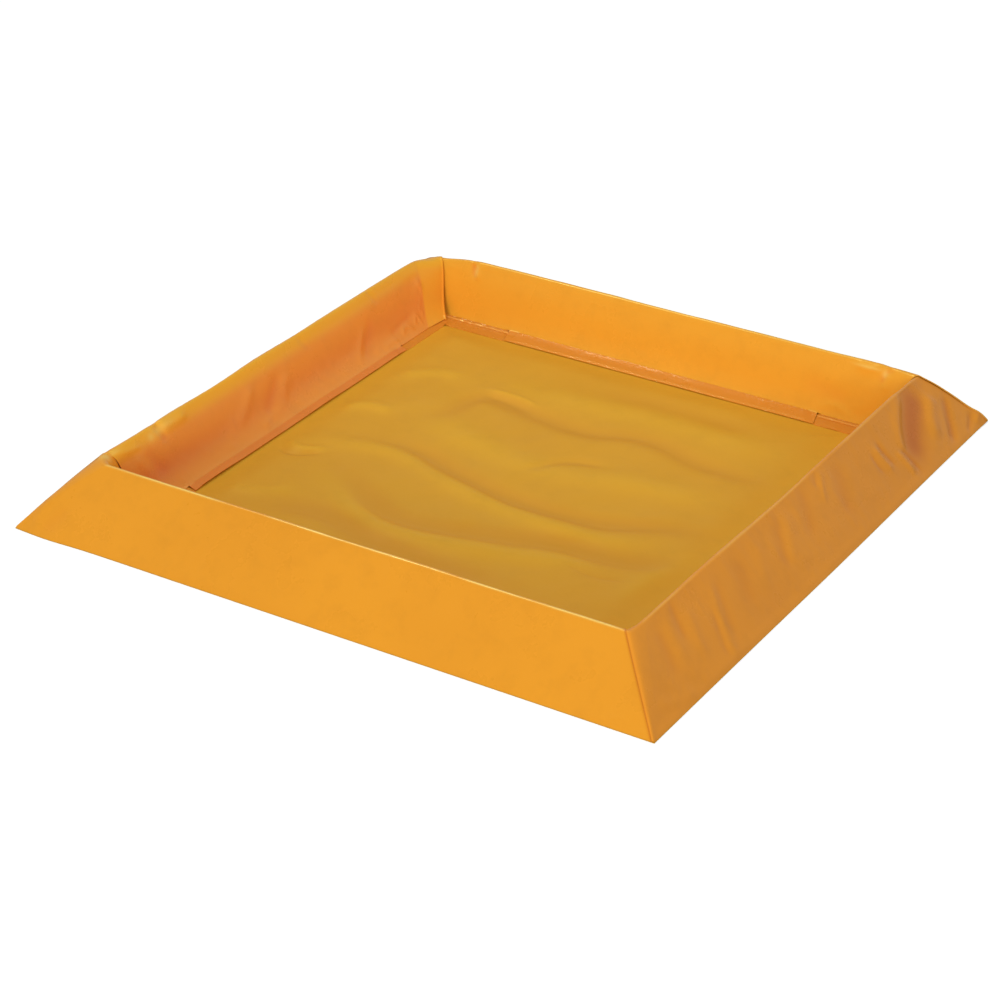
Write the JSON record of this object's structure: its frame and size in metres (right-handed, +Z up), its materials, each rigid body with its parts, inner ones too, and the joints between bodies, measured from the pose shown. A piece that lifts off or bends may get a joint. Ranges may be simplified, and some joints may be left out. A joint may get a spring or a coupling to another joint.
{
  "type": "collapsible spill containment tray",
  "caption": "Square collapsible spill tray of glossy coated fabric, with sloped foam-filled walls round an open basin and hinged access flaps along their inner feet.",
  "frame": {"origin": "centre of the underside, on the floor that the tray lies on", "axes": "+Z up; -Y towards the front wall, +X towards the right wall"},
  "size_m": [1.2196, 1.2196, 0.11],
  "materials": {
    "coated_fabric": "gloss",
    "foam": "matte",
    "closure": "matte"
  },
  "bodies": {
    "tray": {"base_liner": "coated_fabric", "foam_wedge_front": "foam", "foam_wedge_right": "foam", "foam_wedge_back": "foam", "foam_wedge_left": "foam", "wall_cover_front": "coated_fabric", "wall_cover_right": "coated_fabric", "wall_cover_back": "coated_fabric", "wall_cover_left": "coated_fabric", "corner_lap_front": "coated_fabric", "corner_lap_right": "coated_fabric", "corner_lap_back": "coated_fabric", "corner_lap_left": "coated_fabric", "hook_strip_front": "closure", "hook_strip_right": "closure", "hook_strip_back": "closure", "hook_strip_left": "closure", "floor_patch_front": "coated_fabric", "floor_patch_right": "coated_fabric", "floor_patch_back": "coated_fabric", "floor_patch_left": "coated_fabric", "foot_tab_front": "coated_fabric", "foot_tab_right": "coated_fabric", "foot_tab_back": "coated_fabric", "foot_tab_left": "coated_fabric"},
    "flap_front": {"access_flap_front": "coated_fabric", "loop_strip_front": "closure"},
    "flap_right": {"access_flap_right": "coated_fabric", "loop_strip_right": "closure"},
    "flap_back": {"access_flap_back": "coated_fabric", "loop_strip_back": "closure"},
    "flap_left": {"access_flap_left": "coated_fabric", "loop_strip_left": "closure"}
  },
  "joints": [
    {"name": "flap_front_hinge", "type": "hinge", "parent": "tray", "child": "flap_front", "pos_m": [0, -0.47415, 0.0042], "axis": [1, 0, 0], "range_deg": [0, 100]},
    {"name": "flap_right_hinge", "type": "hinge", "parent": "tray", "child": "flap_right", "pos_m": [0.47415, 0, 0.0042], "axis": [0, 1, 0], "range_deg": [0, 100]},
    {"name": "flap_back_hinge", "type": "hinge", "parent": "tray", "child": "flap_back", "pos_m": [0, 0.47415, 0.0042], "axis": [-1, 0, 0], "range_deg": [0, 100]},
    {"name": "flap_left_hinge", "type": "hinge", "parent": "tray", "child": "flap_left", "pos_m": [-0.47415, 0, 0.0042], "axis": [0, -1, 0], "range_deg": [0, 100]}
  ]
}
